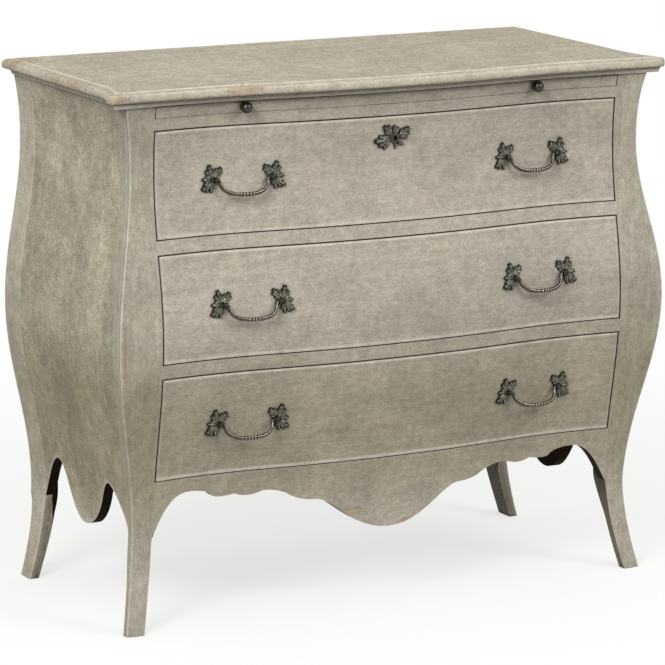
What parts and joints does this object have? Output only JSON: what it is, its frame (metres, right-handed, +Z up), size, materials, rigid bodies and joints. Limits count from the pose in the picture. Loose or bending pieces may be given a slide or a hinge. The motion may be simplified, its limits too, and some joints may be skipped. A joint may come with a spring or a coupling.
{
  "type": "bombe chest of drawers",
  "caption": "Serpentine bombe chest with bowed sides, scalloped apron, sabre legs, full-width drawers, a pull-out brushing slide and vine-leaf bail pulls.",
  "frame": {"origin": "middle of the footprint, on the floor under the feet", "axes": "+X to the right seen from the front, -Y out of the front towards the user, +Z up"},
  "size_m": [1.044, 0.4924, 0.89],
  "materials": {
    "top_paint": "worn grey-beige paint, streaked along the boards",
    "front_paint": "worn mottled greige paint",
    "side_paint": "worn greige paint, darker and yellower",
    "bare_wood": "unfinished softwood",
    "bronze": "dark antique bronze with a little verdigris",
    "steel": "dull"
  },
  "bodies": {
    "carcass": {"top_board": "top_paint", "case_top": "front_paint", "front_post_right": "front_paint", "front_post_left": "front_paint", "rear_post_right": "side_paint", "rear_post_left": "side_paint", "side_panel_right": "side_paint", "side_panel_left": "side_paint", "back_panel": "bare_wood", "front_apron": "front_paint", "runner_1_right": "bare_wood", "runner_1_left": "bare_wood", "slide_rail": "front_paint", "runner_2_right": "bare_wood", "runner_2_left": "bare_wood", "drawer_rail_1": "front_paint", "runner_3_right": "bare_wood", "runner_3_left": "bare_wood", "drawer_rail_2": "front_paint", "slide_runner_right": "bare_wood", "slide_runner_left": "bare_wood"},
    "drawer_1": {"drawer_1_front": "front_paint", "drawer_1_side_right": "bare_wood", "drawer_1_side_left": "bare_wood", "drawer_1_back": "bare_wood", "drawer_1_bottom": "bare_wood", "handle_1_left_leaf_left": "bronze", "handle_1_left_leaf_right": "bronze", "handle_1_right_leaf_left": "bronze", "handle_1_right_leaf_right": "bronze", "escutcheon": "bronze", "drawer_lock": "steel"},
    "drawer_2": {"drawer_2_front": "front_paint", "drawer_2_side_right": "bare_wood", "drawer_2_side_left": "bare_wood", "drawer_2_back": "bare_wood", "drawer_2_bottom": "bare_wood", "handle_2_left_leaf_left": "bronze", "handle_2_left_leaf_right": "bronze", "handle_2_right_leaf_left": "bronze", "handle_2_right_leaf_right": "bronze"},
    "drawer_3": {"drawer_3_front": "front_paint", "drawer_3_side_right": "bare_wood", "drawer_3_side_left": "bare_wood", "drawer_3_back": "bare_wood", "drawer_3_bottom": "bare_wood", "handle_3_left_leaf_left": "bronze", "handle_3_left_leaf_right": "bronze", "handle_3_right_leaf_left": "bronze", "handle_3_right_leaf_right": "bronze"},
    "brushing_slide": {"slide_front": "front_paint", "slide_board": "front_paint", "slide_knob_right": "bronze", "slide_knob_left": "bronze"},
    "handle_1_left_bail": {"handle_1_left_bail": "bronze"},
    "handle_1_right_bail": {"handle_1_right_bail": "bronze"},
    "handle_2_left_bail": {"handle_2_left_bail": "bronze"},
    "handle_2_right_bail": {"handle_2_right_bail": "bronze"},
    "handle_3_left_bail": {"handle_3_left_bail": "bronze"},
    "handle_3_right_bail": {"handle_3_right_bail": "bronze"}
  },
  "joints": [
    {"name": "drawer_1_pull", "type": "slide", "parent": "carcass", "child": "drawer_1", "axis": [0, -1, 0], "range_m": [0, 0.32]},
    {"name": "drawer_2_pull", "type": "slide", "parent": "carcass", "child": "drawer_2", "axis": [0, -1, 0], "range_m": [0, 0.32]},
    {"name": "drawer_3_pull", "type": "slide", "parent": "carcass", "child": "drawer_3", "axis": [0, -1, 0], "range_m": [0, 0.32]},
    {"name": "brushing_slide_pull", "type": "slide", "parent": "carcass", "child": "brushing_slide", "axis": [0, -1, 0], "range_m": [0, 0.24]},
    {"name": "handle_1_left_bail_lift", "type": "hinge", "parent": "drawer_1", "child": "handle_1_left_bail", "pos_m": [-0.27159, -0.19465, 0.73483], "axis": [-0.9975, 0.0701, 0], "range_deg": [0, 90]},
    {"name": "handle_1_right_bail_lift", "type": "hinge", "parent": "drawer_1", "child": "handle_1_right_bail", "pos_m": [0.27159, -0.19465, 0.73483], "axis": [-0.9975, -0.0701, 0], "range_deg": [0, 90]},
    {"name": "handle_2_left_bail_lift", "type": "hinge", "parent": "drawer_2", "child": "handle_2_left_bail", "pos_m": [-0.27159, -0.22865, 0.5355], "axis": [-0.9975, 0.0701, 0], "range_deg": [0, 90]},
    {"name": "handle_2_right_bail_lift", "type": "hinge", "parent": "drawer_2", "child": "handle_2_right_bail", "pos_m": [0.27159, -0.22865, 0.5355], "axis": [-0.9975, -0.0701, 0], "range_deg": [0, 90]},
    {"name": "handle_3_left_bail_lift", "type": "hinge", "parent": "drawer_3", "child": "handle_3_left_bail", "pos_m": [-0.27159, -0.21469, 0.33617], "axis": [-0.9975, 0.0701, 0], "range_deg": [0, 90]},
    {"name": "handle_3_right_bail_lift", "type": "hinge", "parent": "drawer_3", "child": "handle_3_right_bail", "pos_m": [0.27159, -0.21469, 0.33617], "axis": [-0.9975, -0.0701, 0], "range_deg": [0, 90]}
  ]
}
